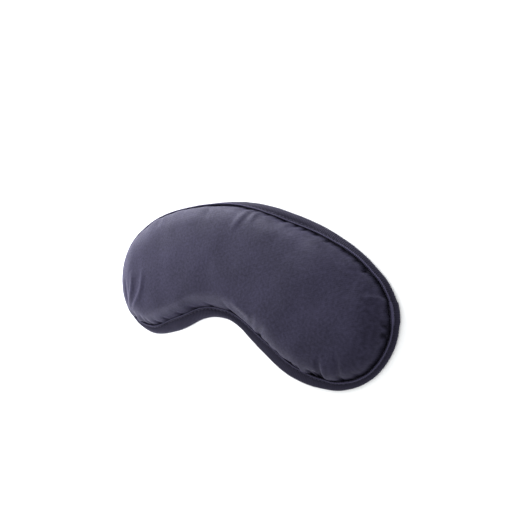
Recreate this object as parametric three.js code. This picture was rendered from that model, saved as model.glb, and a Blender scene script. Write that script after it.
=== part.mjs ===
// Padded sleep mask, lying face up, with its elastic head strap folded flat underneath.
// Millimetres. X runs across the face, Y towards the forehead, Z out of the front panel.
// The origin is at the middle of the mask's underside.

import * as THREE from 'three';

// Outline: the mask is cut to a chain of arcs, the same on both sides. Radius in mm, sweep in degrees.
const CROWN = { radius: 180, sweep: 23 };      // half of the forehead edge
const SHOULDER = { radius: 87, sweep: 17 };
const END = { radius: 35.3, sweep: 130 };      // round the temple
const LOBE = { radius: 67.5, sweep: 45.3 };    // under the eye, to the nose
const NOTCH_SWEEP = CROWN.sweep + SHOULDER.sweep + END.sweep + LOBE.sweep - 180;
const STATIONS = 72;                           // points round the outline

// Edge binding: a tape folded over the edge of all the layers.
const RIM_HEIGHT = 4.4;
const TAPE_WIDTH = 5.0;        // how far each flap reaches in from the edge
const TAPE_THICKNESS = 0.8;    // two plies of ribbed tape
const ROLL = 0.9;              // rounding of the folded outer edge
const SEAM_INSET = 2.9;        // stitch line, in from the edge
const GROOVE_WIDTH = 1.4;
const GROOVE_FLOOR = 0.8;
const GROOVE_DEPTH = 0.5;

// Sewing thread, lying in the grooves.
const THREAD_WIDTH = 0.45;
const THREAD_HEIGHT = 0.2;

// Layers, from the face to the front. Heights are of each layer's underside inside the binding.
const CLEARANCE = 0.3;
const STRAP_THICKNESS = 0.8;
const CLOTH = 0.4;
const HEM_INSET = 1.1;         // raw edges stop short of the binding's fold
const STRAP_END_Z = TAPE_THICKNESS + CLEARANCE;
const BACK_HEM_Z = STRAP_END_Z + STRAP_THICKNESS + CLEARANCE;
const FRONT_HEM_Z = BACK_HEM_Z + CLOTH + CLEARANCE;
const FREE_INSET = TAPE_WIDTH + 0.5;   // where the panels leave the binding

// Back panel: lifted by the folded strap.
const BACK_PLATEAU_Z = 3.4;
const BACK_PLATEAU_INSET = 14;

// Front panel: it swells steeply from the binding, then crowns gently over the padding.
const EDGE_RISE = 9.2;
const EDGE_REACH = 3.0;
const CROWN_RISE = 2.4;
const CROWN_REACH = 14;
const FRONT_PLATEAU_INSET = 24;

// Padding and blackout interlining, sealed between the panels.
const INTERLINING_THICKNESS = 0.3;
const INTERLINING_INSET = 6.6;
const PADDING_INSET = 6.8;
const PADDING_SIDE_GAP = 0.4;  // square to the steep edge of the front panel

// Elastic strap: both ends are caught in the binding, and its spare length is folded in three.
const STRAP_WIDTH = 15;
const STRAP_Y = -2;
const STRAP_REACH = 99.5;      // half the distance between its two ends
const STRAP_TURN_IN = 95;      // where it is clear of the binding's lower flap
const STRAP_RAMP = 8;
const STRAP_FOLD = 18;         // half the length of the folded stack
const FLOOR_GAP = 0.1;

const PLUM = 0x3f3d50;
const PLUM_TAPE = 0x393748;
const BLACK = 0x1c1c22;

function material(color, roughness) {
  return new THREE.MeshStandardMaterial({ color, roughness, metalness: 0 });
}

// Walks the chain of arcs clockwise from the left end of the crown. A negative sweep turns outwards.
function outlinePath() {
  const path = new THREE.CurvePath();
  const at = new THREE.Vector2(0, 0);
  let heading = THREE.MathUtils.degToRad(CROWN.sweep);

  function turn(radius, degrees) {
    const sweep = THREE.MathUtils.degToRad(degrees);
    const side = Math.sign(sweep);
    const centre = new THREE.Vector2(
      at.x + side * radius * Math.sin(heading),
      at.y - side * radius * Math.cos(heading),
    );
    const start = heading + side * Math.PI / 2;
    path.add(new THREE.EllipseCurve(
      centre.x, centre.y, radius, radius, start, start - sweep, sweep > 0,
    ));
    heading -= sweep;
    at.set(
      centre.x - side * radius * Math.sin(heading),
      centre.y + side * radius * Math.cos(heading),
    );
  }

  const middleX = CROWN.radius * Math.sin(heading);
  turn(CROWN.radius, 2 * CROWN.sweep);
  turn(SHOULDER.radius, SHOULDER.sweep);
  turn(END.radius, END.sweep);
  turn(LOBE.radius, LOBE.sweep);
  const notchRadius = (at.x - middleX) / Math.sin(THREE.MathUtils.degToRad(NOTCH_SWEEP));
  turn(notchRadius, -2 * NOTCH_SWEEP);
  turn(LOBE.radius, LOBE.sweep);
  turn(END.radius, END.sweep);
  turn(SHOULDER.radius, SHOULDER.sweep);
  return path;
}

// Evenly spaced stations round the centred outline, counter-clockwise, with the normals that point in.
function outlineStations() {
  const path = outlinePath();
  const stations = [];
  const box = new THREE.Box2();
  for (let i = 0; i < STATIONS; i += 1) {
    const along = 1 - i / STATIONS;
    const point = path.getPointAt(along);
    const tangent = path.getTangentAt(along);
    stations.push({ point, inward: new THREE.Vector2(tangent.y, -tangent.x) });
    box.expandByPoint(point);
  }
  const middle = box.getCenter(new THREE.Vector2());
  stations.forEach((station) => station.point.sub(middle));
  return stations;
}

const outline = outlineStations();

// One closed ring at a given inset from the edge and a given height.
function ring([inset, z]) {
  return outline.map(({ point, inward }) => (
    new THREE.Vector3(point.x + inward.x * inset, point.y + inward.y * inset, z)
  ));
}

// Skins a run of rings. The run goes outwards along the underside, up, and inwards along the top.
// A solid of layers is capped on its first and last rings; a hollow band closes on itself.
function skin(rings, band = false) {
  const count = STATIONS;
  const positions = rings.flat().flatMap((p) => p.toArray());
  const faces = [];
  const spans = band ? rings.length : rings.length - 1;
  for (let r = 0; r < spans; r += 1) {
    const low = r * count;
    const high = ((r + 1) % rings.length) * count;
    for (let i = 0; i < count; i += 1) {
      const next = (i + 1) % count;
      faces.push(low + i, low + next, high + next);
      faces.push(low + i, high + next, high + i);
    }
  }
  if (!band) {
    const top = (rings.length - 1) * count;
    const flat = (loop) => loop.map((p) => new THREE.Vector2(p.x, p.y));
    for (const [a, b, c] of THREE.ShapeUtils.triangulateShape(flat(rings[0]), [])) {
      faces.push(c, b, a);
    }
    for (const [a, b, c] of THREE.ShapeUtils.triangulateShape(flat(rings.at(-1)), [])) {
      faces.push(top + a, top + b, top + c);
    }
  }
  const geometry = new THREE.BufferGeometry();
  geometry.setAttribute('position', new THREE.Float32BufferAttribute(positions, 3));
  geometry.setIndex(faces);
  geometry.computeVertexNormals();
  return geometry;
}

// A cloth of even thickness over a profile of [inset, underside] points, listed from the edge inwards.
function clothOver(profile, thickness) {
  const underside = [...profile].reverse();
  const topside = profile.map(([inset, z]) => [inset, z + thickness]);
  return skin([...underside, ...topside].map(ring));
}

// Height of the front panel's underside at an inset from the edge.
function frontHeight(inset) {
  const run = Math.max(inset - FREE_INSET, 0);
  const edge = EDGE_RISE * (1 - Math.exp(-run / EDGE_REACH));
  const crown = CROWN_RISE * (1 - Math.exp(-((run / CROWN_REACH) ** 2)));
  return FRONT_HEM_Z + edge + crown;
}

function edgeBinding() {
  const low = SEAM_INSET - GROOVE_WIDTH / 2;
  const high = SEAM_INSET + GROOVE_WIDTH / 2;
  const slope = (GROOVE_WIDTH - GROOVE_FLOOR) / 2;
  const roof = RIM_HEIGHT - TAPE_THICKNESS;
  const section = [
    [TAPE_WIDTH, 0],
    [high, 0],
    [high - slope, GROOVE_DEPTH],
    [low + slope, GROOVE_DEPTH],
    [low, 0],
    [ROLL, 0],
    [0, ROLL],
    [0, RIM_HEIGHT - ROLL],
    [ROLL, RIM_HEIGHT],
    [low, RIM_HEIGHT],
    [low + slope, RIM_HEIGHT - GROOVE_DEPTH],
    [high - slope, RIM_HEIGHT - GROOVE_DEPTH],
    [high, RIM_HEIGHT],
    [TAPE_WIDTH, RIM_HEIGHT],
    [TAPE_WIDTH, roof],
    [TAPE_THICKNESS, roof],
    [TAPE_THICKNESS, TAPE_THICKNESS],
    [TAPE_WIDTH, TAPE_THICKNESS],
  ];
  return skin(section.map(ring), true);
}

// A thread lying along the stitch line, its underside at the height z.
function seamThread(z) {
  const outer = SEAM_INSET - THREAD_WIDTH / 2;
  const inner = SEAM_INSET + THREAD_WIDTH / 2;
  const section = [[inner, z], [outer, z], [outer, z + THREAD_HEIGHT], [inner, z + THREAD_HEIGHT]];
  return skin(section.map(ring), true);
}

function frontPanel() {
  const insets = [FREE_INSET, 6.2, 7.2, 9, 12, 16, FRONT_PLATEAU_INSET];
  const profile = [[HEM_INSET, FRONT_HEM_Z], ...insets.map((inset) => [inset, frontHeight(inset)])];
  return clothOver(profile, CLOTH);
}

function backPanel() {
  return clothOver([
    [HEM_INSET, BACK_HEM_Z],
    [FREE_INSET, BACK_HEM_Z],
    [BACK_PLATEAU_INSET, BACK_PLATEAU_Z],
  ], CLOTH);
}

const interliningZ = BACK_PLATEAU_Z + CLOTH + CLEARANCE;

function interlining() {
  return clothOver([[INTERLINING_INSET, interliningZ]], INTERLINING_THICKNESS);
}

function padding() {
  const floor = interliningZ + INTERLINING_THICKNESS + CLEARANCE;
  const insets = [PADDING_INSET, 7.8, 9.5, 12, 16, FRONT_PLATEAU_INSET];
  const top = insets.map((inset) => [inset, frontHeight(inset - PADDING_SIDE_GAP) - CLEARANCE]);
  return skin([[PADDING_INSET, floor], ...top].map(ring));
}

// Middle line of the strap, seen from the side: x along the mask, y for height.
function strapLine() {
  const bottom = FLOOR_GAP + STRAP_THICKNESS / 2;
  const pitch = STRAP_THICKNESS + CLEARANCE;
  const caught = STRAP_END_Z + STRAP_THICKNESS / 2;
  const line = new THREE.Path();
  line.moveTo(-STRAP_REACH, caught);
  line.lineTo(-STRAP_TURN_IN, caught);
  line.lineTo(-STRAP_TURN_IN + STRAP_RAMP, bottom);
  line.lineTo(STRAP_FOLD, bottom);
  line.absarc(STRAP_FOLD, bottom + pitch / 2, pitch / 2, -Math.PI / 2, Math.PI / 2, false);
  line.lineTo(-STRAP_FOLD, bottom + pitch);
  line.absarc(-STRAP_FOLD, bottom + 1.5 * pitch, pitch / 2, -Math.PI / 2, Math.PI / 2, true);
  line.lineTo(STRAP_FOLD + 2 * STRAP_RAMP, bottom + 2 * pitch);
  line.lineTo(STRAP_FOLD + 4 * STRAP_RAMP, bottom);
  line.lineTo(STRAP_TURN_IN - STRAP_RAMP, bottom);
  line.lineTo(STRAP_TURN_IN, caught);
  line.lineTo(STRAP_REACH, caught);
  return line;
}

// The strap's side view, as thick as the elastic, drawn out to the strap's width.
function strap() {
  const line = strapLine().getPoints(6);
  const above = [];
  const below = [];
  line.forEach((point, i) => {
    const before = line[Math.max(i - 1, 0)];
    const after = line[Math.min(i + 1, line.length - 1)];
    const along = new THREE.Vector2().subVectors(after, before).normalize();
    const side = new THREE.Vector2(-along.y, along.x).multiplyScalar(STRAP_THICKNESS / 2);
    above.push(point.clone().add(side));
    below.unshift(point.clone().sub(side));
  });
  const shape = new THREE.Shape([...below, ...above]);
  const geometry = new THREE.ExtrudeGeometry(shape, { depth: STRAP_WIDTH, bevelEnabled: false });
  geometry.rotateX(Math.PI / 2);
  geometry.translate(0, STRAP_Y + STRAP_WIDTH / 2, 0);
  return geometry;
}

const mask = new THREE.Group();

function add(name, geometry, finish) {
  const mesh = new THREE.Mesh(geometry, finish);
  mesh.name = name;
  mask.add(mesh);
}

const threadBed = GROOVE_DEPTH - CLEARANCE;
add('front_panel', frontPanel(), material(PLUM, 0.45));
add('padding', padding(), material(0xe9e7e2, 0.95));
add('blackout_interlining', interlining(), material(BLACK, 0.9));
add('back_panel', backPanel(), material(PLUM, 0.5));
add('edge_binding', edgeBinding(), material(PLUM_TAPE, 0.7));
add('needle_thread', seamThread(RIM_HEIGHT - threadBed), material(PLUM_TAPE, 0.6));
add('bobbin_thread', seamThread(threadBed - THREAD_HEIGHT), material(PLUM_TAPE, 0.6));
add('head_strap', strap(), material(BLACK, 0.8));

export default mask;
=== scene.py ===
"""A padded sleep mask: its cloth, tape, thread and elastic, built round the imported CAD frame.

Shapes are worked out in millimetres in the CAD frame, and turned to metres when a mesh is made.
A place on the mask is given by two numbers: the distance along the outline, counter-clockwise
from the nose notch, and the inset, measured square to the outline towards the middle.
"""

import math

import bpy
import numpy as np
from mathutils import Matrix, Vector
from mathutils.geometry import delaunay_2d_cdt
from mathutils.noise import noise as perlin


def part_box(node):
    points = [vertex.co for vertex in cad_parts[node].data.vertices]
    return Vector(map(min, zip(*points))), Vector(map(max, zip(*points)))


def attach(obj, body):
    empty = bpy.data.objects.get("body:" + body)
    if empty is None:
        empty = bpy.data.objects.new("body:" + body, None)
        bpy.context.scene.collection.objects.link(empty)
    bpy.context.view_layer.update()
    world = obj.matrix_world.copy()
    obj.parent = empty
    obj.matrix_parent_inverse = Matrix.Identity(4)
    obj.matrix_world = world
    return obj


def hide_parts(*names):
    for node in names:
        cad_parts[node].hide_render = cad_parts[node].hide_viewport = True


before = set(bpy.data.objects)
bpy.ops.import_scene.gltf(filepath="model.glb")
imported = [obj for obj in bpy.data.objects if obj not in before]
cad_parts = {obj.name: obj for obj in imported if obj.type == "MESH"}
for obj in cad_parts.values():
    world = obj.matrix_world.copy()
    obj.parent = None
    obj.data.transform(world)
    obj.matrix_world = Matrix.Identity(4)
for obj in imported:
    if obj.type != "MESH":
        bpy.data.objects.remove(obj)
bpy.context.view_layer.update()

MM = 0.001
SPLINE_STEPS = 24          # points worked out from one corner of a spline to the next

# The arcs that the mask is cut to, as in the CAD model: radius in mm, sweep in degrees.
CROWN = (180.0, 23.0)
SHOULDER = (87.0, 17.0)
END = (35.3, 130.0)
LOBE = (67.5, 45.3)

# The edge, in mm.
BINDING = "edge_binding"
RIM_HEIGHT = (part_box(BINDING)[1][2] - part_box(BINDING)[0][2]) / MM
RIM = 3.3                  # the bound edge as it is pressed together
FRONT_HEM = 1.45           # from the tape's top down to the front panel, where it comes out
BACK_HEM = 1.15            # from the tape's underside up to the lining
GROOVE = 1.15              # stitch line, out from the tape's inner edge
STITCH_PITCH = 2.7
STITCH_LENGTH = 2.3
STITCH_SIDES = 8
THREAD = 0.42
RIB_PITCH = 1.1            # the tape's cross ribs
RIB_RELIEF = 0.045
LAP = (133.0, 146.0)       # where the tape's last end lies over its first
LAP_RISE = 0.4
DIMPLE = 0.09              # how far each stitch pulls the tape in
RUCK = 0.10                # how uneven its surface is
STRAY = 0.12               # how far it strays from its line

FLOOR_GAP = 0.03           # what rests on the floor stays just clear of it

# How the edge lies round the mask. For each distance along the outline: how wide the tape is;
# how far it is turned down, in degrees; how far the front panel bulges over it; how far in the
# panel's steep side reaches; and how far the sewn edge strays in from the outline.
LIE = [
    (0, 5.0, 0, 0.0, 11, 0.8), (20, 5.7, 0, 0.0, 13, -1.6), (35, 6.5, 0, 0.0, 13, 0.0),
    (58, 6.2, 0, 0.0, 11, 0.0), (80, 5.0, 12, 0.0, 9, 0.4), (105, 4.5, 45, 0.2, 9, 0.3),
    (140, 4.5, 55, 0.2, 9, 0.0), (175, 4.8, 52, 0.2, 9, 0.6), (200, 5.0, 28, 0.1, 9, 0.2),
    (225, 5.1, 10, 0.0, 9, 0.3), (250, 5.0, 30, 0.2, 9, -0.3), (270, 4.8, 55, 0.9, 8, 0.0),
    (295, 4.4, 65, 1.5, 8, 0.5), (330, 4.4, 64, 1.3, 10, -0.3), (360, 4.4, 60, 0.2, 15, 0.7),
    (400, 4.4, 50, 0.0, 19, 1.1), (425, 4.4, 42, 0.2, 12, 0.2), (450, 5.2, 8, 0.0, 9, -1.5),
    (470, 8.2, 0, 0.0, 9, 0.5), (490, 7.4, 0, 0.0, 9, 1.5),
]

# The front panel, in mm.
PANEL_INSET = 5.15         # the panel's seam in plan, before the edge lies down
SHOULDER_Z = 12.8          # height where its steep side ends
TOP_Z = 14.8               # height at its middle
CROWN_REACH = 14.0         # from the seam to where it is nearly level
ROUNDNESS = 2.2            # of the steep side: 2 is a quarter circle, more is squarer
TUCK = 0.2                 # the seam lies this far under the tape's lip
CREVICE = 0.8              # the panel lies level this far before it swells
CLOTH_THICKNESS = 0.3
PANEL_MESH = 1.2           # spacing of the panel's points

# How the front panel is worked up.
FOLDS_BEFORE = 0.5         # share of the folds' depth set before the cloth is run
FOLDS_AFTER = 0.6          # share added when it has run
ROLL = ((28, 0.8, 3), (12, 0.35, 8))    # broad unevenness: size and height in mm, noise seed
EASE = 0.985               # how long the flat pattern is cut, against the designed length
CLOTH_FRAMES = 20
CLOTH_PRESSURE = 0.4
CLOTH_LIMIT = 1.1          # how far a point may move while the cloth is run, in mm

# The lining, interlining and pad, in mm.
BACK_Z = 3.35              # height of the lining away from its seam
BACK_REACH = 9.0           # it climbs to that height over this width
BACK_MESH = 2.2
RUMPLE = 0.16              # how uneven the lining and interlining are
INTERLINING_INSET = 8.6
INTERLINING_LIFT = 0.75    # above the lining
INTERLINING_MESH = 4.0
PAD_INSET = 8.8
PAD_LIFT = 1.5             # from the lining up to the pad
PAD_GAP = 2.4              # from the front panel down to the pad
PAD_PRESS = 1.2            # how deep a fold presses the pad, against its own depth
PAD_MESH = 2.6
PAD_FLUFF = 0.35           # how uneven the pad's top is
PAD_EDGE = 3.5             # the pad thins out over this width

# The elastic strap: both ends caught in the binding, its spare length folded in three beneath.
STRAP_WIDTH = 15.0
STRAP_THICKNESS = 0.8
STRAP_Y = -2.0
STRAP_LIFT = 1.0           # how far it lifts the lining
STRAP_FOLD = 18.0          # half the length of the folded stack
STRAP_PITCH = 1.05         # from one ply of the stack to the next
STRAP_FLOOR = 0.5          # middle of the lowest ply
STRAP_CORDS = 11           # rubber cords that run along the elastic
STRAP_CORD_RELIEF = 0.14   # how far it dips between two cords, as a share of its thickness
STRAP_RIB = 1.6            # from one of its cross threads to the next
STRAP_RIB_RELIEF = 0.012
STRAP_WANDER = 0.5         # how far it strays sideways
STRAP_SEAM = (4.8, 1.15)   # its end in the tape's section: inset and height
STRAP_MOUTH = (5.9, 1.05)  # where it comes out of the tape
STRAP_EDGE = 103.0         # the edge is looked for from here
STRAP_TURNS = 4            # times that its end is moved closer to the seam
STRAP_HOLD = (3.0, 14.0)   # from its end, where it stops following the edge
STRAP_PRESS = (1.5, 5.0)   # from its end, where the tape no longer presses it thin
STRAP_PRESSED = 0.5        # share of its thickness that the tape presses away
STRAP_DROP = ((93.0, 2.9), (89.0, 1.2))     # on its way down to the floor, x and z
STRAP_FLAT = (84.0, 60.0, 30.0)             # places across the mask where it lies on the floor
STRAP_MESH = 0.6
TENT = 10.0                # half the width of lining that the strap lifts
TENT_FROM = (76.0, 90.0)   # where along the mask it begins and is fully lifted


# ---------------------------------------------------------------- outline

class Outline:
    """The chain of arcs round the mask, counter-clockwise from the nose notch."""

    def __init__(self):
        half = [LOBE, END, SHOULDER, CROWN]
        notch_sweep = sum(sweep for _, sweep in half) - 180
        heading = -math.radians(notch_sweep)
        across = 0.0
        for radius, sweep in half:
            after = heading + math.radians(sweep)
            across += radius * (math.sin(after) - math.sin(heading))
            heading = after
        notch = (across / math.sin(math.radians(notch_sweep)), -notch_sweep)
        chain = [notch, *half, *reversed(half), notch]
        self.radius = np.array([math.copysign(radius, sweep) for radius, sweep in chain])
        sweeps = np.radians([sweep for _, sweep in chain])
        self.heading = np.concatenate([[0.0], np.cumsum(sweeps)])
        self.start = np.concatenate([[0.0], np.cumsum(self.radius * sweeps)])
        self.length = self.start[-1]
        point = np.zeros(2)
        self.centre = []
        for radius, h0, h1 in zip(self.radius, self.heading, self.heading[1:]):
            centre = point + radius * np.array([-math.sin(h0), math.cos(h0)])
            self.centre.append(centre)
            point = centre + radius * np.array([math.sin(h1), -math.cos(h1)])
        self.centre = np.array(self.centre)
        shape = self.at(np.linspace(0, self.length, 2000), 0.0)
        self.centre -= (shape.min(0) + shape.max(0)) / 2

    def at(self, along, inset):
        """The points at these distances along the outline and these insets."""
        along = np.mod(np.asarray(along, float), self.length)
        arc = np.clip(np.searchsorted(self.start, along, side="right") - 1, 0, len(self.radius) - 1)
        heading = self.heading[arc] + (along - self.start[arc]) / self.radius[arc]
        reach = (self.radius[arc] - inset)[..., None]
        return self.centre[arc] + reach * np.stack([np.sin(heading), -np.cos(heading)], -1)

    def locate(self, points):
        """For points inside the outline, the nearest distance along it and the inset."""
        along = np.linspace(0, self.length, 2400, endpoint=False)
        edge = self.at(along, 0.0)
        best = np.empty(len(points), int)
        for i in range(0, len(points), 500):
            gap = points[i:i + 500, None] - edge[None]
            best[i:i + 500] = np.argmin((gap ** 2).sum(-1), 1)
        return along[best], np.linalg.norm(points - edge[best], axis=1)


outline = Outline()


def smoothstep(value, low, high):
    t = np.clip((value - low) / (high - low), 0, 1)
    return t * t * (3 - 2 * t)


def spline(p0, p1, p2, p3, t):
    """A uniform Catmull-Rom spline from p1 to p2."""
    return 0.5 * (2 * p1 + (p2 - p0) * t + (2 * p0 - 5 * p1 + 4 * p2 - p3) * t ** 2
                  + (3 * p1 - p0 - 3 * p2 + p3) * t ** 3)


def field(points, size, seed, octaves=1):
    """Smooth noise from about -1 to 1 at points in mm, with features of about this size."""
    total = np.zeros(len(points))
    strength = 1.0
    for octave in range(octaves):
        step = size / 2 ** octave
        shift = 17.3 * seed + 5.1 * octave
        total += strength * np.array([
            perlin(Vector((x / step + shift, y / step - shift, z / step + 2 * shift)))
            for x, y, z in points
        ])
        strength *= 0.5
    return total


# ---------------------------------------------------------------- the edge's lie

def lie(along):
    """Tape width, tilt in radians, bulge, reach and stray at distances along the outline."""
    table = np.array(LIE, float)
    stops = np.concatenate([table[:, 0], [outline.length]])
    along = np.mod(along, outline.length)
    i = np.clip(np.searchsorted(stops, along, side="right") - 1, 0, len(table) - 1)
    t = ((along - stops[i]) / (stops[i + 1] - stops[i]))[..., None]
    n = len(table)
    values = spline(*(table[(i + k) % n, 1:] for k in (-1, 0, 1, 2)), t)
    width, tilt, bulge, reach, stray = np.moveaxis(values, -1, 0)
    return width, np.radians(np.maximum(tilt, 0)), bulge, reach, stray


# The tape's closed section: over its outside from top to underside, then back along its inside.
# Each point is an inset and a height, for a tape SECTION_WIDTH wide and RIM high.
TAPE_SECTION = [
    (5.05, 2.45), (5.14, 3.05), (5.05, 3.55), (4.8, 3.76), (4.52, 3.58), (4.32, 3.1),
    (4.12, 2.56), (3.85, 2.36), (3.45, 2.5), (2.8, 2.84), (2.2, 3.0), (1.5, 3.05),
    (0.75, 2.85), (0.18, 2.3), (0.0, 1.6), (0.15, 0.9), (0.7, 0.28), (1.5, 0.0), (2.4, 0.06),
    (3.2, 0.3), (3.6, 0.5), (3.95, 0.5), (4.3, 0.12), (4.75, 0.0), (5.0, 0.25), (5.05, 0.6),
    (4.6, 0.72), (3.4, 0.95), (1.2, 0.62), (0.65, 1.1), (0.65, 2.05), (1.2, 2.35), (3.4, 2.05),
    (4.6, 2.15),
]
SECTION_WIDTH = 5.0
INNER_FOLD = (5.0, 0.25)   # the last point of the section on the tape's outside


def turned(along, inset, z):
    """Where a point of the upright, pressed edge comes to lie: its inset and height.

    Here the inset is for a tape SECTION_WIDTH wide. A wider tape is wider outside its stitches.
    """
    width, tilt, *_ = lie(along)
    spread = (width - SECTION_WIDTH) * smoothstep(inset, 0.3, SECTION_WIDTH - GROOVE - 0.6)
    x = inset + spread - width
    return x * np.cos(tilt) - z * np.sin(tilt), x * np.sin(tilt) + z * np.cos(tilt)


def edge_place(along, inset, z):
    """The inset and height of a point of the edge, with the tape's outside resting on z = 0."""
    along = np.asarray(along, float)
    corners = [turned(along, np.full(along.shape, a), b) for a, b in TAPE_SECTION]
    low_inset = np.min([c[0] for c in corners], axis=0)
    low_z = np.min([c[1] for c in corners], axis=0)
    x, height = turned(along, np.asarray(inset, float) + 0 * along, z)
    return x - low_inset + lie(along)[-1], height - low_z


def lap_rise(along):
    """How far the tape's outside is raised, where one end lies over the other."""
    first, last = LAP
    along = np.mod(along, outline.length)
    return LAP_RISE * (smoothstep(along, first, first + 4) - smoothstep(along, last - 0.5, last))


# ---------------------------------------------------------------- meshes

def make_object(name, points, faces, uv=None, crease_shade=None):
    """An object from points in mm and faces. uv gives each point's place on its cloth, in mm.

    The last argument tells the material how deep in creases each point lies, from 0 to 1, and so how
    much painted shade darkens its colour there.
    """
    mesh = bpy.data.meshes.new(name)
    mesh.from_pydata((np.asarray(points) * MM).tolist(), [], [list(map(int, f)) for f in faces])
    mesh.validate()
    mesh.shade_smooth()
    if uv is not None:
        layer = mesh.uv_layers.new(name="cloth")
        loops = np.empty(len(mesh.loops), int)
        mesh.loops.foreach_get("vertex_index", loops)
        layer.data.foreach_set("uv", (np.asarray(uv)[loops]).astype(np.float32).ravel())
    if crease_shade is not None:
        mesh.attributes.new("crease_shade", "FLOAT", "POINT").data.foreach_set("value", crease_shade)
    obj = bpy.data.objects.new(name, mesh)
    bpy.context.scene.collection.objects.link(obj)
    return obj


def finish_piece(obj, slot, material, *nodes):
    obj.data.materials.clear()
    obj.data.materials.append(material)
    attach(obj, "root")
    if nodes:
        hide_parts(*nodes)


def ring_faces(rows, columns):
    """Quads of a grid that closes on itself both ways."""
    faces = []
    for r in range(rows):
        a, b = r * columns, ((r + 1) % rows) * columns
        for c in range(columns):
            d = (c + 1) % columns
            faces.append((a + c, b + c, b + d, a + d))
    return faces


def smooth_loop(corners, count):
    """A closed spline through the corners, at evenly spaced places."""
    p = np.asarray(corners, float)
    n = len(p)
    dense = []
    for i in range(n):
        around = p[i - 1], p[i], p[(i + 1) % n], p[(i + 2) % n]
        dense += [spline(*around, t) for t in np.linspace(0, 1, SPLINE_STEPS, endpoint=False)]
    dense = np.array(dense)
    step = np.linalg.norm(np.roll(dense, -1, 0) - dense, axis=1)
    run = np.concatenate([[0], np.cumsum(step)])
    closed = np.vstack([dense, dense[:1]])
    want = np.linspace(0, run[-1], count, endpoint=False)
    return np.stack([np.interp(want, run, closed[:, k]) for k in range(2)], 1)


# ---------------------------------------------------------------- camera, light and floor

def camera():
    """Looks from beyond one temple, above the face, with the forehead edge up in the picture."""
    right = Vector((0.733, 0.178, -0.656))
    back = Vector((0.659, 0.051, 0.750)).normalized()
    up = back.cross(right).normalized()
    right = up.cross(back)
    target = Vector((0, 0, RIM_HEIGHT / 2)) * MM
    distance = 0.3333
    data = bpy.data.cameras.new("camera")
    data.sensor_width = 36
    data.lens = 39.46
    data.shift_x = 0.0478
    data.shift_y = 0.0368
    data.clip_start = 0.01
    obj = bpy.data.objects.new("camera", data)
    turn = Matrix((right, up, back)).transposed().to_4x4()
    obj.matrix_world = Matrix.Translation(target + back * distance) @ turn
    bpy.context.scene.collection.objects.link(obj)
    bpy.context.scene.camera = obj


def area_light(name, place, aim, size, power, spread=180):
    """A round soft light, slightly cool. spread is its beam's full angle in degrees."""
    data = bpy.data.lights.new(name, "AREA")
    data.shape = "DISK"
    data.size = size
    data.energy = power
    data.color = (0.93, 0.94, 1.0)
    data.spread = math.radians(spread)
    obj = bpy.data.objects.new(name, data)
    obj.visible_camera = False
    obj.location = place
    obj.rotation_euler = (Vector(aim) - Vector(place)).to_track_quat("-Z", "Y").to_euler()
    bpy.context.scene.collection.objects.link(obj)


def studio():
    scene = bpy.context.scene
    scene.view_settings.view_transform = "Standard"
    world = bpy.data.worlds.new("studio")
    world.use_nodes = True
    background = world.node_tree.nodes["Background"]
    background.inputs["Color"].default_value = (0.985, 0.995, 1.0, 1)
    background.inputs["Strength"].default_value = 1.25
    scene.world = world
    area_light("key", (-0.40, 0.17, 0.18), (-0.05, 0.0, 0.01), 0.24, 1.5)
    area_light("fill", (-0.16, -0.17, 0.08), (-0.09, -0.02, 0.01), 0.12, 0.10, spread=60)
    area_light("back", (-0.25, 0.30, 0.10), (-0.02, 0.03, 0.01), 0.22, 2.6)
    area_light("over", (-0.15, 0.0, 0.17), (-0.05, 0.0, 0.01), 0.12, 0.07)
    bpy.ops.mesh.primitive_plane_add(size=6)
    floor = bpy.context.object
    floor.name = "floor"
    paper = bpy.data.materials.new("floor_paper")
    paper.use_nodes = True
    shader = paper.node_tree.nodes["Principled BSDF"]
    shader.inputs["Base Color"].default_value = (0.95, 0.955, 0.955, 1)
    shader.inputs["Roughness"].default_value = 0.9
    floor.data.materials.append(paper)


# ---------------------------------------------------------------- materials

class Nodes:
    """A short way to write a material's node tree."""

    def __init__(self, name):
        self.material = bpy.data.materials.new(name)
        self.material.use_nodes = True
        self.tree = self.material.node_tree
        self.shader = self.tree.nodes["Principled BSDF"]

    def add(self, kind, **settings):
        node = self.tree.nodes.new(kind)
        for key, value in settings.items():
            setattr(node, key, value)
        return node

    def put(self, socket, value):
        if hasattr(value, "is_linked"):
            self.tree.links.new(value, socket)
        else:
            socket.default_value = value

    def math(self, operation, a, b=0.0):
        node = self.add("ShaderNodeMath", operation=operation)
        self.put(node.inputs[0], a)
        self.put(node.inputs[1], b)
        return node.outputs[0]

    def noise(self, where, scale, detail=2.0, roughness=0.5):
        node = self.add("ShaderNodeTexNoise")
        self.put(node.inputs["Vector"], where)
        node.inputs["Scale"].default_value = scale
        node.inputs["Detail"].default_value = detail
        node.inputs["Roughness"].default_value = roughness
        return node.outputs["Fac"]

    def mix(self, factor, a, b):
        node = self.add("ShaderNodeMix", data_type="RGBA")
        self.put(node.inputs["Factor"], factor)
        self.put(node.inputs["A"], a)
        self.put(node.inputs["B"], b)
        return node.outputs["Result"]

    def remap(self, value, low, high, to_low=0.0, to_high=1.0):
        node = self.add("ShaderNodeMapRange")
        self.put(node.inputs["Value"], value)
        ends = {"From Min": low, "From Max": high, "To Min": to_low, "To Max": to_high}
        for key, number in ends.items():
            node.inputs[key].default_value = number
        return node.outputs["Result"]

    def bump(self, height, distance, strength=1.0, below=None):
        node = self.add("ShaderNodeBump")
        self.put(node.inputs["Height"], height)
        node.inputs["Distance"].default_value = distance
        node.inputs["Strength"].default_value = strength
        if below is not None:
            self.put(node.inputs["Normal"], below)
        return node.outputs["Normal"]

    def set(self, **values):
        for key, value in values.items():
            self.put(self.shader.inputs[key.replace("_", " ")], value)


VIOLET = (0.68, 0.63, 1.0)
GREY = (0.85, 0.85, 0.9)


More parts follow.
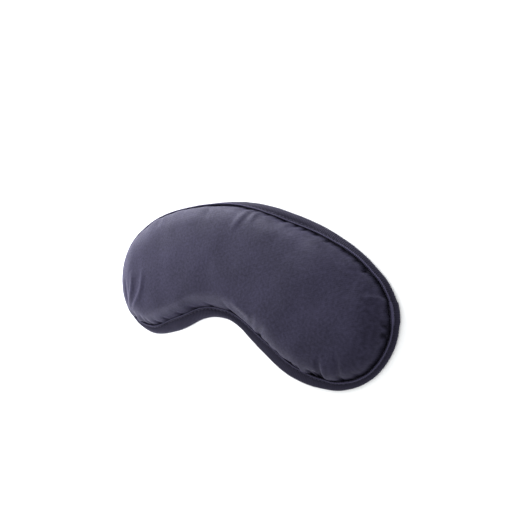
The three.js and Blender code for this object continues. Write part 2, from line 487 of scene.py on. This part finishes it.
def rgba(color, factor=1.0):
    return (color[0] * factor, color[1] * factor, color[2] * factor, 1.0)


def ripple(nodes, coordinate, pitch):
    """A wave from 0 to 1 along a coordinate in mm, once every pitch."""
    phase = nodes.math("MULTIPLY", coordinate, 2 * math.pi / pitch)
    return nodes.math("ADD", nodes.math("MULTIPLY", nodes.math("SINE", phase), 0.5), 0.5)


def cloth_map(n):
    """The piece's cloth map, and its two coordinates in mm."""
    cloth = n.add("ShaderNodeUVMap", uv_map="cloth").outputs["UV"]
    split = n.add("ShaderNodeSeparateXYZ")
    n.put(split.inputs[0], cloth)
    return cloth, split.outputs["X"], split.outputs["Y"]


def dyed(n, cloth, color, weave, mottle, spread=0.4):
    """Colour with soft clouds and short flecks, as dyed yarn has, and the weave's own shade."""
    flecks = n.remap(n.noise(cloth, 0.62, 3.0, 0.6), 0.3, 0.7, -mottle, mottle)
    cloud = n.remap(n.noise(cloth, 0.05, 3.0), 0.3, 0.7, -0.6 * mottle, 0.6 * mottle)
    factor = n.remap(n.math("ADD", n.math("ADD", flecks, cloud), weave), -0.5, 0.5)
    return n.mix(factor, rgba(color, 1 - spread), rgba(color, 1 + spread))


def soften(n, sheen, tint, specular=0.12):
    """Sheen and gloss that are the same all over."""
    n.shader.inputs["Sheen Weight"].default_value = sheen
    n.shader.inputs["Sheen Roughness"].default_value = 0.4
    n.shader.inputs["Sheen Tint"].default_value = rgba(tint)
    n.shader.inputs["Specular IOR Level"].default_value = specular
    n.shader.inputs["Specular Tint"].default_value = rgba(tint)


def woven(name, color, pitch, relief, roughness, sheen, mottle=0.26, over=1.0, tint=VIOLET,
          shade_creases=False):
    """A plain weave, or with over above 1 a satin one with long floats, on the cloth map.

    It can darken its colour towards a much darker copy of itself as painted shade in creases, as far as
    its mesh's per-point shade amount says.
    """
    n = Nodes(name)
    cloth, x, y = cloth_map(n)
    weave = n.math("MULTIPLY", ripple(n, x, pitch), ripple(n, y, pitch * over))
    uneven = n.noise(cloth, 1.3, 3.0)
    plain = dyed(n, cloth, color, n.remap(weave, 0, 1, -0.1, 0.1), mottle)
    if shade_creases:
        # painted shade: the colour is darkened where the mesh's per-point shade amount is high
        crease_shade = n.add("ShaderNodeAttribute", attribute_name="crease_shade").outputs["Fac"]
        plain = n.mix(crease_shade, plain, rgba(color, 0.12))
    n.set(Base_Color=plain,
          Roughness=n.remap(uneven, 0.3, 0.7, roughness - 0.07, roughness + 0.07),
          Normal=n.bump(uneven, 0.05 * MM, 0.6, n.bump(weave, relief * MM)))
    soften(n, sheen, tint)
    return n.material


def ribbed(name, color, pitch, relief, roughness, sheen, lip_light_groove_shade=0.0, mottle=0.16, tint=VIOLET):
    """Ribs across the cloth map's length, every pitch in mm.

    A keyword argument sets a painted highlight along the tape's rolled lip, where it catches the light,
    and painted shade down in its stitch groove; 0 paints neither.
    """
    n = Nodes(name)
    cloth, x, y = cloth_map(n)
    wobble = n.remap(n.noise(cloth, 0.35, 2.0), 0, 1, -0.15 * pitch, 0.15 * pitch)
    rib = ripple(n, n.math("ADD", x, wobble), pitch)
    yarn = ripple(n, y, pitch * 0.45)
    # painted highlight: a pale band along the rolled lip
    lip_highlight = n.math("MULTIPLY", n.remap(y, 0.7, 1.1), n.remap(y, 1.5, 1.9, lip_light_groove_shade, 0.0))
    # painted shade: a dark band down in the stitch groove
    seam = n.math("MULTIPLY", n.remap(y, 1.9, 2.4), n.remap(y, 3.2, 3.7, lip_light_groove_shade, 0.0))
    plain = dyed(n, cloth, color, n.remap(rib, 0, 1, -0.22, 0.14), mottle)
    pale = n.mix(lip_highlight, plain, rgba(color, 4.2))
    n.set(Base_Color=n.mix(seam, pale, rgba(color, 0.3)),
          Roughness=n.remap(rib, 0, 1, roughness + 0.06, roughness - 0.06),
          Normal=n.bump(yarn, 0.3 * relief * MM, 1.0, n.bump(rib, relief * MM)))
    soften(n, sheen, tint)
    return n.material


def twisted(name, color, roughness):
    """Sewing thread: plies that wind round it."""
    n = Nodes(name)
    cloth, x, y = cloth_map(n)
    ply = ripple(n, n.math("ADD", x, n.math("MULTIPLY", y, 1.4)), 0.5)
    n.set(Base_Color=dyed(n, cloth, color, n.remap(ply, 0, 1, -0.25, 0.25), 0.1),
          Roughness=n.remap(ply, 0, 1, roughness + 0.1, roughness - 0.1),
          Normal=n.bump(ply, 0.05 * MM))
    soften(n, 0.1, VIOLET, 0.3)
    return n.material


def fleecy(name, color):
    """Loose matted fibre."""
    n = Nodes(name)
    cloth, _, _ = cloth_map(n)
    fibre = n.noise(cloth, 1.6, 5.0, 0.7)
    n.set(Base_Color=dyed(n, cloth, color, n.remap(fibre, 0.3, 0.7, -0.1, 0.1), 0.08, 0.12),
          Roughness=n.remap(fibre, 0.3, 0.7, 0.9, 1.0),
          Normal=n.bump(fibre, 0.4 * MM))
    soften(n, 0.4, (0.95, 0.95, 0.95), 0.1)
    return n.material


# ---------------------------------------------------------------- front panel

# Puckers and soft folds in the panel, part of their depth set before the cloth is run and part
# after. Distance along the outline, run in from the seam where it starts, length, lean (mm along
# for each mm in), half width, and depth: positive for a valley.
FOLDS = [
    (2, 1, 7, 0.0, 2.0, 0.8), (19, 2, 9, 0.3, 1.6, 1.0), (25, 1, 11, 0.3, 1.6, 1.1),
    (34, 0, 3.5, 0.0, 1.3, 0.9), (43, 0, 4, 0.0, 1.3, 1.3), (51, 0, 3, 0.0, 1.2, 0.9),
    (55, 0, 4, 0.0, 1.3, 1.3), (60, 0, 4, 0.0, 1.3, 1.3), (64, 0, 4, 0.0, 1.6, -0.6),
    (69, 0, 4.5, 0.1, 1.4, 1.8), (73, 0, 5, 0.1, 1.3, 1.7), (76, 0, 13, 0.3, 1.3, 2.1),
    (80, 0, 8, 0.3, 1.8, -0.5), (88, 1, 13, 0.9, 1.7, 1.1), (100, 0, 3, 0.0, 1.4, 0.7),
    (111, 0, 2, 0.0, 1.2, 0.5), (121, 0, 2.5, 0.3, 1.2, 0.9), (128, 0, 3.5, 0.5, 1.3, 1.4),
    (132, 0, 7, 1.4, 1.5, 1.2), (137, 0, 6, 0.8, 1.6, -0.5), (141, 0, 2.5, 0.3, 1.2, 0.6),
    (146, 0, 8, 1.0, 1.6, -1.0), (151, 0, 2.5, 0.0, 1.2, 0.6), (158, 0, 2, 0.0, 1.2, 0.5),
    (167, 0, 2.4, 0.0, 1.3, 1.3), (174, 0, 2, 0.0, 1.2, 0.6), (184, 0, 2, 0.0, 1.2, 0.6),
    (195, 0, 2.2, 0.0, 1.2, 0.9), (204.5, 0, 2, 0.0, 1.2, 0.7), (212, 0, 2.4, 0.0, 1.5, 1.1),
    (218.5, 0, 2.4, 0.0, 1.3, 1.0), (222.5, 0, 5, 0.1, 1.8, -0.3), (228, 0, 2, 0.0, 1.2, 0.8),
    (240, 0, 2, 0.0, 1.3, 0.7), (245.5, 0, 9, 0.0, 2.2, -0.6), (248.5, 0, 5, 0.2, 1.4, 0.3),
    (251, 0, 16, 0.45, 2.8, -0.7),
    (283, 1, 8, -0.2, 2.5, 0.4), (327, 1, 7, 0.2, 2.5, 0.4), (425, 0, 4, 0.2, 1.4, 1.0),
    (430, 0, 6, 0.3, 1.5, -0.8), (434, 0, 6, 0.3, 1.3, 1.3), (438.5, 0, 6, 0.3, 1.3, -0.8),
    (443, 0, 6, 0.2, 1.3, 1.2), (449, 0, 5, 0.2, 1.4, 1.0), (457, 0, 3.5, 0.0, 1.4, 0.9),
    (466, 0, 3, 0.0, 1.4, 0.7), (480, 0, 3, 0.0, 1.6, 0.6), (493, 0, 3.5, -0.2, 1.5, 0.7),
    (505, 0, 4, -0.2, 1.5, 0.7),
]

# Long soft ridges that cross the panel near an end or the nose, as seen in plan: from, bend, to,
# in mm; then half width and height. A negative height is a hollow.
RIDGES = [
    ((-81, -9), (-74, -20), (-80, -33), 1.7, 0.8),
    ((-70, -6), (-62, -24), (-79, -36), 1.8, 0.9),
    ((-75, -10), (-70, -21), (-77, -32), 2.0, -0.25),
    ((-88, -16), (-85, -24), (-81, -30), 1.8, -1.0),
    ((9, -12), (16, -13), (25, -17), 1.8, 0.9),
    ((6, -15), (15, -17), (22, -20), 1.8, -0.6),
]


def panel_place(along, run):
    """The designed outside of the front panel: points in mm, at runs in from its seam."""
    _, _, bulge, reach, _ = lie(along)
    seam_inset, seam_z = edge_place(along, SECTION_WIDTH - TUCK, RIM - FRONT_HEM)
    round_trip = 2 * np.pi * along / outline.length
    crevice = CREVICE * (1 + 0.2 * np.sin(23 * round_trip) + 0.15 * np.sin(41 * round_trip))
    fade = 1 - smoothstep(run, 0, CROWN_REACH)
    inset = PANEL_INSET + run + (seam_inset - PANEL_INSET) * fade
    inset -= bulge * np.sin(np.pi * np.clip(run / 5, 0, 1))
    top = SHOULDER_Z + (TOP_Z - SHOULDER_Z) * (1 - np.exp(-(run / CROWN_REACH) ** 2))
    climb = np.clip((run - crevice) / (reach + 2 - crevice), 0, 1)
    rise = (1 - (1 - climb) ** ROUNDNESS) ** (1 / ROUNDNESS)
    height = seam_z + (top - seam_z) * rise
    return np.column_stack([outline.at(along, inset), height])


def fold_depth(along, run, flat):
    """How far the set folds push the panel in, in mm."""
    depth = np.zeros(len(along))
    for start, first, length, lean, width, amount in FOLDS:
        gap = along - start - lean * run
        gap = (gap + outline.length / 2) % outline.length - outline.length / 2
        begin = smoothstep(run, first - 1.5, first + 1.0)
        share = begin * (1 - smoothstep(run, first + 0.35 * length, first + length))
        depth += amount * share * np.exp(-(gap / width) ** 2)
    for start, bend, end, width, height in RIDGES:
        t = np.linspace(0, 1, 60)[:, None]
        line = (1 - t) ** 2 * np.array(start) + 2 * t * (1 - t) * np.array(bend)
        line += t * t * np.array(end)
        gap = np.linalg.norm(flat[:, None] - line[None], axis=2)
        nearest = gap.argmin(1) / (len(t) - 1)
        share = 0.15 + 0.85 * np.sin(np.pi * nearest) ** 0.6
        depth -= height * share * np.exp(-(gap.min(1) / width) ** 2)
    return depth


def within(loop, points):
    """Which points in plan lie inside a closed loop."""
    inside = np.zeros(len(points), bool)
    for (ax, ay), (bx, by) in zip(loop, np.roll(loop, -1, 0)):
        crosses = (ay > points[:, 1]) != (by > points[:, 1])
        with np.errstate(divide="ignore", invalid="ignore"):
            where = (bx - ax) * (points[:, 1] - ay) / (by - ay) + ax
        inside ^= crosses & (points[:, 0] < where)
    return inside


def panel_flat(inset, spacing, ring_runs):
    """A piece's points in plan and its triangles: rings near its edge, a lattice inside.

    Also each point's distance along the outline and run in from the piece's edge, and the points
    of that edge in order.
    """
    count = int(outline.length / spacing)
    along = np.linspace(0, outline.length, count, endpoint=False)
    rings = []
    for k, run in enumerate(ring_runs):
        rings.append(outline.at(along + (k % 2) * spacing / 2, inset + run))
    border = rings[-1]
    low, high = border.min(0), border.max(0)
    lattice = []
    for j, y in enumerate(np.arange(low[1], high[1], spacing * math.sqrt(0.75))):
        for x in np.arange(low[0], high[0], spacing):
            lattice.append((x + (j % 2) * spacing / 2, y))
    lattice = np.array(lattice)
    lattice = lattice[within(border, lattice)]
    _, depth = outline.locate(lattice)
    lattice = lattice[depth > inset + ring_runs[-1] + 0.7 * spacing]
    points = np.vstack([*rings, lattice])
    edges = [(i, (i + 1) % count) for i in range(count)]
    result = delaunay_2d_cdt([Vector(p) for p in points.tolist()], edges, [], 1, 1e-5)
    order = np.array([group[0] for group in result[3]])
    flat = points[order]
    along_of, inset_of = outline.locate(flat)
    border = np.empty(count, int)
    for place, source in enumerate(order):
        if source < count:
            border[source] = place
    ringed = order < count * len(rings)
    ring = order // count
    exact = np.mod(along[order % count] + (ring % 2) * spacing / 2, outline.length)
    along_of[ringed] = exact[ringed]
    inset_of[ringed] = inset + np.array(ring_runs)[ring[ringed]]
    return flat, [list(f) for f in result[2]], along_of, inset_of - inset, border


def point_normals(points, faces):
    """Unit normals of a triangle mesh at its points."""
    tri = np.array(faces)
    a, b, c = (points[tri[:, k]] for k in range(3))
    face = np.cross(b - a, c - a)
    total = np.zeros_like(points)
    for k in range(3):
        np.add.at(total, tri[:, k], face)
    return total / np.linalg.norm(total, axis=1, keepdims=True)


def pattern(along, run):
    """Where the panel's points lie in the flat cloth: let out round its edge to cover the side."""
    rows, columns = 360, 28
    stops = np.linspace(0, CROWN_REACH, columns + 1)
    stations = np.linspace(0, outline.length, rows + 1)
    lengths = []
    for a in stations:
        line = panel_place(np.full(len(stops), a), stops)
        step = np.linalg.norm(np.diff(line, axis=0), axis=1)
        lengths.append(np.concatenate([np.cumsum(step[::-1])[::-1], [0]]))
    lengths = np.array(lengths)
    i = np.clip((along / outline.length * rows).astype(int), 0, rows - 1)
    t = along / outline.length * rows - i
    k = np.clip((run / CROWN_REACH * columns).astype(int), 0, columns - 1)
    u = np.clip(run / CROWN_REACH * columns - k, 0, 1)
    low = lengths[i, k] * (1 - u) + lengths[i, k + 1] * u
    high = lengths[i + 1, k] * (1 - u) + lengths[i + 1, k + 1] * u
    length = (low * (1 - t) + high * t) * EASE
    inset = np.where(run < CROWN_REACH, PANEL_INSET + CROWN_REACH - length, PANEL_INSET + run)
    return outline.at(along, inset)


def simulate(start, rest, faces, hold):
    """Runs Blender's cloth from start, with rest as the unstretched cloth. Points in mm.

    hold is each point's goal weight. The cloth is run at ten times its size, where its settings
    suit so fine a mesh.
    """
    scale = 10 * MM
    mesh = bpy.data.meshes.new("cloth_work")
    mesh.from_pydata((start * scale).tolist(), [], faces)
    obj = bpy.data.objects.new("cloth_work", mesh)
    scene = bpy.context.scene
    scene.collection.objects.link(obj)
    obj.shape_key_add(name="start")
    key = obj.shape_key_add(name="flat")
    key.data.foreach_set("co", (np.column_stack([rest, np.zeros(len(rest))]) * scale).ravel())
    group = obj.vertex_groups.new(name="hold")
    for weight in np.unique(hold):
        group.add(np.nonzero(hold == weight)[0].tolist(), float(weight), "REPLACE")
    cloth = obj.modifiers.new("cloth", "CLOTH")
    cloth.settings.quality = 8
    cloth.settings.mass = 0.3
    cloth.settings.tension_stiffness = 20
    cloth.settings.compression_stiffness = 20
    cloth.settings.shear_stiffness = 8
    cloth.settings.bending_stiffness = 0.3
    cloth.settings.vertex_group_mass = "hold"
    cloth.settings.pin_stiffness = 1.0
    cloth.settings.rest_shape_key = key
    cloth.settings.use_pressure = True
    cloth.settings.uniform_pressure_force = CLOTH_PRESSURE
    cloth.settings.effector_weights.gravity = 0
    cloth.point_cache.frame_start = 1
    cloth.point_cache.frame_end = CLOTH_FRAMES
    for step in range(1, CLOTH_FRAMES + 1):
        scene.frame_set(step)
    done = obj.evaluated_get(bpy.context.evaluated_depsgraph_get())
    result = np.empty(len(start) * 3)
    done.data.vertices.foreach_get("co", result)
    result = result.reshape(-1, 3) / scale
    scene.frame_set(1)
    bpy.data.objects.remove(obj)
    bpy.data.meshes.remove(mesh)
    move = result - start
    far = np.linalg.norm(move, axis=1, keepdims=True)
    return start + move * np.minimum(1, CLOTH_LIMIT / np.maximum(far, 1e-9))


def relax(points, faces, fixed, rounds, amount=0.5):
    """Evens out a mesh a little by moving each point towards its neighbours' middle."""
    tri = np.array(faces)
    pairs = np.unique(np.sort(np.vstack([tri[:, [0, 1]], tri[:, [1, 2]], tri[:, [2, 0]]]), 1), axis=0)
    degree = np.bincount(pairs.ravel(), minlength=len(points))[:, None]
    for _ in range(rounds):
        total = np.zeros_like(points)
        np.add.at(total, pairs[:, 0], points[pairs[:, 1]])
        np.add.at(total, pairs[:, 1], points[pairs[:, 0]])
        moved = points + amount * (total / degree - points)
        points = np.where(fixed[:, None], points, moved)
    return points


def front_panel(material):
    runs = [0, 0.45, 0.9, 1.4, 2.0, 2.8, 3.8]
    flat, faces, along, run, border = panel_flat(PANEL_INSET, PANEL_MESH, runs)
    points = panel_place(along, run)
    folds = fold_depth(along, run, flat) * smoothstep(run, 0, 1.2)
    broad = sum(height * field(flat_to_3d(flat), size, seed) for size, height, seed in ROLL)
    depth = FOLDS_BEFORE * folds + broad * smoothstep(run, 1, 8)
    points = points - point_normals(points, faces) * depth[:, None]
    hold = np.where(run < 1, 1.0, np.where(run < 2.5, 0.3, 0.12))
    points = simulate(points, pattern(along, run), faces, hold)
    points = relax(points, faces, run < 1.5, 1, 0.35)
    points = points - point_normals(points, faces) * (FOLDS_AFTER * folds)[:, None]
    # Painted shade for the satin: darkest in the crevice along its seam and in the notches of deep
    # folds.
    notch = smoothstep(folds, 0.4, 1.3) * (1 - smoothstep(run, 1.2, 2.6))
    crease_shade = np.maximum(1 - smoothstep(run, 0.5, 1.2), notch)
    obj = make_object("front_panel_satin", points, faces, uv=flat, crease_shade=crease_shade)
    thicken(obj, CLOTH_THICKNESS, -1)
    finish_piece(obj, "satin", material, "front_panel")


def flat_to_3d(flat):
    return np.column_stack([flat, np.zeros(len(flat))])


def thicken(obj, thickness, offset):
    """Gives a sheet its thickness, then one round of smoothing."""
    solid = obj.modifiers.new("thickness", "SOLIDIFY")
    solid.thickness = thickness * MM
    solid.offset = offset
    sub = obj.modifiers.new("smooth", "SUBSURF")
    sub.levels = sub.render_levels = 1


# ---------------------------------------------------------------- lining, interlining and padding

def back_place(along, run):
    """The lining's outside, which faces down: lifted by the strap that is folded under it."""
    seam_inset, seam_z = edge_place(along, SECTION_WIDTH + 0.15, BACK_HEM)
    fade = 1 - smoothstep(run, 0, BACK_REACH)
    inset = PANEL_INSET + run + (seam_inset - PANEL_INSET) * fade
    place = outline.at(along, inset)
    height = seam_z + (BACK_Z - seam_z) * (1 - fade)
    over_strap = np.exp(-((place[:, 1] - STRAP_Y) / TENT) ** 4)
    over_strap *= smoothstep(abs(place[:, 0]), *TENT_FROM)
    return np.column_stack([place, height + STRAP_LIFT * over_strap])


def lay_sheet(name, slot, node, inset, spacing, above, material):
    """A flat sheet laid at this height above the lining."""
    runs = [0, 1.2, 2.6] if spacing < 3 else [0, 2.5]
    flat, faces, along, run, border = panel_flat(inset, spacing, runs)
    points = back_place(along, run + inset - PANEL_INSET)
    rumple = RUMPLE * field(flat_to_3d(flat), 17, seed=11, octaves=2) * smoothstep(run, 0, 8)
    points[:, 2] += above + rumple
    flipped = [f[::-1] for f in faces]
    obj = make_object(name, points, flipped, uv=flat)
    thicken(obj, CLOTH_THICKNESS, -1)
    finish_piece(obj, slot, material, node)


def padding(material):
    """The pad: its top follows the front panel a little below it, its underside is flat."""
    flat, faces, along, run, border = panel_flat(PAD_INSET, PAD_MESH, [0, 1.3, 2.8, 4.6])
    deep = run + PAD_INSET - PANEL_INSET
    under = back_place(along, deep)
    under[:, 2] += PAD_LIFT
    top = panel_place(along, deep)
    pressed = PAD_GAP + PAD_PRESS * np.maximum(fold_depth(along, deep, flat), 0)
    top -= point_normals(top, faces) * pressed[:, None]
    top[:, 2] += PAD_FLUFF * field(flat_to_3d(flat), 6, seed=21, octaves=3)
    side = (top[:, 2] + under[:, 2]) / 2
    swell = np.sqrt(smoothstep(run, 0, PAD_EDGE))
    top[:, 2] = side + (top[:, 2] - side) * swell
    under[:, 2] = side + (under[:, 2] - side) * swell
    inner = np.setdiff1d(np.arange(len(flat)), border)
    below = np.arange(len(flat))
    below[inner] = len(flat) + np.arange(len(inner))
    points = np.vstack([top, under[inner]])
    underside = [[int(below[i]) for i in f[::-1]] for f in faces]
    obj = make_object("padding_wadding", points, faces + underside, uv=np.vstack([flat, flat[inner]]))
    sub = obj.modifiers.new("smooth", "SUBSURF")
    sub.levels = sub.render_levels = 1
    finish_piece(obj, "wadding", material, "padding")


# ---------------------------------------------------------------- edge binding and thread

def edge_binding(material):
    ribs = round(outline.length / RIB_PITCH)
    stations = 4 * ribs
    section = smooth_loop(TAPE_SECTION, 52)
    tangent = np.roll(section, -1, 0) - np.roll(section, 1, 0)
    tangent /= np.linalg.norm(tangent, axis=1, keepdims=True)
    outside_end = np.linalg.norm(section - np.array(INNER_FOLD), axis=1).argmin()
    along = np.linspace(0, outline.length, stations, endpoint=False)
    raised = lap_rise(along) + RIB_RELIEF * np.cos(2 * np.pi * ribs * along / outline.length)
    wander = field(np.column_stack([*outline.at(along, 0).T, np.zeros(stations)]), 9, seed=5, octaves=2)
    hole = np.cos(2 * np.pi * along / STITCH_PITCH)
    points = []
    uv = []
    run = 0.0
    for k, (inset, z) in enumerate(section):
        in_groove = math.exp(-((inset - SECTION_WIDTH + GROOVE) / 0.5) ** 2)
        outside = -1 if z > RIM / 2 else 1
        dimple = outside * DIMPLE * in_groove * (hole + 0.6)
        ruck = RUCK * wander * (0.4 + 0.6 * smoothstep(inset, 0, 2.5))
        out = raised if k <= outside_end else 0 * raised
        place_inset, height = edge_place(
            along, inset + STRAY * wander + tangent[k, 1] * out,
            z + dimple + outside * ruck - tangent[k, 0] * out)
        points.append(np.column_stack([outline.at(along, place_inset), np.maximum(height, FLOOR_GAP)]))
        uv.append(np.column_stack([along, np.full(stations, run)]))
        run += np.linalg.norm(section[(k + 1) % len(section)] - section[k])
    faces = ring_faces(len(section), stations)
    obj = make_object("edge_binding_tape", np.vstack(points), faces, uv=np.vstack(uv))
    finish_piece(obj, "binding_tape", material, BINDING)


def seam_thread(name, node, z, outward, material):
    """A row of separate stitches down in the tape's groove. outward is 1 on top, -1 beneath."""
    count = round(outline.length / STITCH_PITCH)
    pitch = outline.length / count
    around = np.linspace(0, 2 * np.pi, STITCH_SIDES, endpoint=False)
    lengthways = np.linspace(-0.5, 0.5, 9)
    points = []
    faces = []
    uv = []
    for i in range(count):
        middle = i * pitch
        raised = float(lap_rise(middle))
        base = len(points)
        for t in lengthways:
            girth = THREAD / 2 * math.sqrt(max(1 - (2 * t) ** 4, 0.02))
            dip = 0.28 * (2 * t) ** 4
            for angle in around:
                inset = SECTION_WIDTH - GROOVE + girth * math.cos(angle)
                height = z + outward * (girth * math.sin(angle) + 0.12 - dip + raised)
                points.append((middle + t * STITCH_LENGTH, inset, height))
                uv.append((middle + t * STITCH_LENGTH, angle * THREAD / 2))
        for r in range(len(lengthways) - 1):
            a, b = base + STITCH_SIDES * r, base + STITCH_SIDES * (r + 1)
            for c in range(STITCH_SIDES):
                d = (c + 1) % STITCH_SIDES
                faces.append((a + c, b + c, b + d, a + d))
        last = base + STITCH_SIDES * (len(lengthways) - 1)
        faces.append(tuple(range(base, base + STITCH_SIDES)))
        faces.append(tuple(reversed(range(last, last + STITCH_SIDES))))
    along, inset, height = np.array(points).T
    inset, height = edge_place(along, inset, height)
    obj = make_object(name, np.column_stack([outline.at(along, inset), height]), faces, uv=uv)
    finish_piece(obj, "thread", material, node)


# ---------------------------------------------------------------- head strap

def open_spline(corners, spacing):
    """An evenly spaced spline through the corners that can't loop, and the run along it."""
    p = np.array(corners)
    p = np.vstack([2 * p[0] - p[1], p, 2 * p[-1] - p[-2]])
    dense = []
    for p0, p1, p2, p3 in zip(p, p[1:], p[2:], p[3:]):
        chord = [max(np.linalg.norm(b - a), 1e-6) ** 0.5 for a, b in ((p0, p1), (p1, p2), (p2, p3))]
        t0, t1, t2, t3 = 0, chord[0], chord[0] + chord[1], sum(chord)
        for t in np.linspace(t1, t2, SPLINE_STEPS, endpoint=False):
            a1 = ((t1 - t) * p0 + (t - t0) * p1) / (t1 - t0)
            a2 = ((t2 - t) * p1 + (t - t1) * p2) / (t2 - t1)
            a3 = ((t3 - t) * p2 + (t - t2) * p3) / (t3 - t2)
            b1 = ((t2 - t) * a1 + (t - t0) * a2) / (t2 - t0)
            b2 = ((t3 - t) * a2 + (t - t1) * a3) / (t3 - t1)
            dense.append(((t2 - t) * b1 + (t - t1) * b2) / (t2 - t1))
    dense = np.array(dense + [p[-2]])
    run = np.concatenate([[0], np.cumsum(np.linalg.norm(np.diff(dense, axis=0), axis=1))])
    want = np.linspace(0, run[-1], int(run[-1] / spacing))
    return np.column_stack([np.interp(want, run, dense[:, k]) for k in range(2)]), want


def strap_line():
    """The strap's middle line from the side, as x and z in mm, evenly spaced."""
    turn = STRAP_PITCH / 2
    ends = {}
    for side in (-1, 1):
        near = outline.locate(np.array([[side * STRAP_EDGE, STRAP_Y]]))[0]
        edge_x = abs(outline.at(near, 0.0)[0, 0])
        places = edge_place(near, *STRAP_SEAM), edge_place(near, *STRAP_MOUTH)
        ends[side] = [(side * (edge_x - inset[0]), z[0]) for inset, z in places]
    level = [STRAP_FLOOR + k * STRAP_PITCH for k in range(3)]
    outer, middle, inner = STRAP_FLAT
    drop = [*STRAP_DROP, (outer, level[0]), (middle, level[0])]
    corners = [
        *ends[-1], *((-x, z) for x, z in drop), (-inner, level[0]),
        (0, level[0]), (STRAP_FOLD, level[0]), (STRAP_FOLD + turn, level[0] + turn),
        (STRAP_FOLD, level[1]), (0, level[1]), (-STRAP_FOLD, level[1]),
        (-STRAP_FOLD - turn, level[1] + turn), (-STRAP_FOLD, level[2]), (0, level[2]),
        (STRAP_FOLD + 6, level[2]), (STRAP_FOLD + 14, level[1]), (STRAP_FOLD + 24, level[0]),
        *reversed(drop), *reversed(ends[1]),
    ]
    return open_spline(corners, STRAP_MESH)


def strap_end(side, y):
    """Where the strap is sewn to the edge at the given y, as x and z in mm."""
    x = np.full(len(y), side * STRAP_EDGE)
    for _ in range(STRAP_TURNS):
        near, depth = outline.locate(np.column_stack([x, y]))
        inset, z = edge_place(near, *STRAP_SEAM)
        x = x - side * (inset - depth)
    return np.column_stack([x, z])


def head_strap(material):
    line, run = strap_line()
    tangent = np.gradient(line, axis=0)
    tangent /= np.linalg.norm(tangent, axis=1, keepdims=True)
    normal = np.column_stack([-tangent[:, 1], tangent[:, 0]])
    across = np.linspace(-0.5, 0.5, 6 * STRAP_CORDS + 1)
    half = STRAP_THICKNESS / 2
    rise = np.abs(np.sin(np.pi * STRAP_CORDS * (across + 0.5)))
    cords = half * (1 - STRAP_CORD_RELIEF + STRAP_CORD_RELIEF * rise)
    cords *= np.sqrt(1 - (2 * np.abs(across)) ** 14 * 0.85)
    section = [*zip(across, cords), *zip(across[::-1], -cords[::-1])]
    wander = STRAP_WANDER * field(np.column_stack([run, 0 * run, 0 * run]), 60, seed=2)
    line[:, 1] = np.maximum(line[:, 1], half + FLOOR_GAP)
    from_end = {-1: run, 1: run[-1] - run}
    held = {side: 1 - smoothstep(away, *STRAP_HOLD) for side, away in from_end.items()}
    nearest = np.minimum(from_end[-1], from_end[1])
    pressed = 1 - STRAP_PRESSED * (1 - smoothstep(nearest, *STRAP_PRESS))
    points = []
    uv = []
    for a, h in section:
        width = STRAP_WIDTH * (1 - STRAP_RIB_RELIEF * np.cos(2 * np.pi * run / STRAP_RIB))
        offset = normal * (h * pressed)[:, None]
        for side in (-1, 1):
            row, middle = strap_end(side, np.array([STRAP_Y + a * STRAP_WIDTH, STRAP_Y]))
            offset = offset + held[side][:, None] * (row - middle)
        y = STRAP_Y + wander + a * width
        points.append(np.column_stack([line[:, 0] + offset[:, 0], y, line[:, 1] + offset[:, 1]]))
        uv.append(np.column_stack([run, np.full(len(run), a * STRAP_WIDTH)]))
    count = len(run)
    faces = []
    for r in range(len(section)):
        a, b = r * count, ((r + 1) % len(section)) * count
        faces += [(a + c, b + c, b + c + 1, a + c + 1) for c in range(count - 1)]
    faces.append(tuple(r * count + count - 1 for r in range(len(section))))
    faces.append(tuple(r * count for r in reversed(range(len(section)))))
    obj = make_object("head_strap_elastic", np.vstack(points), faces, uv=np.vstack(uv))
    finish_piece(obj, "elastic", material, "head_strap")


# ---------------------------------------------------------------- build

camera()
studio()

SATIN = (0.0165, 0.0150, 0.0280)
TAPE = (0.0130, 0.0119, 0.0210)
LINING = (0.0130, 0.0115, 0.0190)
BLACK = (0.0075, 0.0075, 0.0085)
WHITE = (0.78, 0.77, 0.74)

# the satin carries painted shade in its creases
satin = woven("plum_satin", SATIN, 0.34, 0.03, 0.58, 0.11, mottle=0.42, over=2.5, shade_creases=True)
lining = woven("plum_lining", LINING, 0.45, 0.05, 0.75, 0.15)
blackout = woven("black_interlining", BLACK, 0.5, 0.04, 0.8, 0.05, tint=GREY)
tape_rib = outline.length / round(outline.length / RIB_PITCH)
# the tape carries a painted highlight on its lip and painted shade in its stitch groove
tape = ribbed("plum_grosgrain", TAPE, tape_rib, 0.10, 0.62, 0.11, lip_light_groove_shade=0.8)
elastic = ribbed("black_elastic", BLACK, STRAP_RIB, 0.12, 0.7, 0.15, tint=GREY)
thread = twisted("plum_thread", TAPE, 0.5)
wadding = fleecy("white_wadding", WHITE)

front_panel(satin)
padding(wadding)
lay_sheet("blackout_interlining_cloth", "blackout_cloth", "blackout_interlining",
          INTERLINING_INSET, INTERLINING_MESH, INTERLINING_LIFT, blackout)
lay_sheet("back_panel_lining", "lining", "back_panel",
          PANEL_INSET, BACK_MESH, 0.0, lining)
edge_binding(tape)
seam_thread("needle_stitches", "needle_thread", RIM - 0.62, 1, thread)
seam_thread("bobbin_stitches", "bobbin_thread", 0.5, -1, thread)
head_strap(elastic)
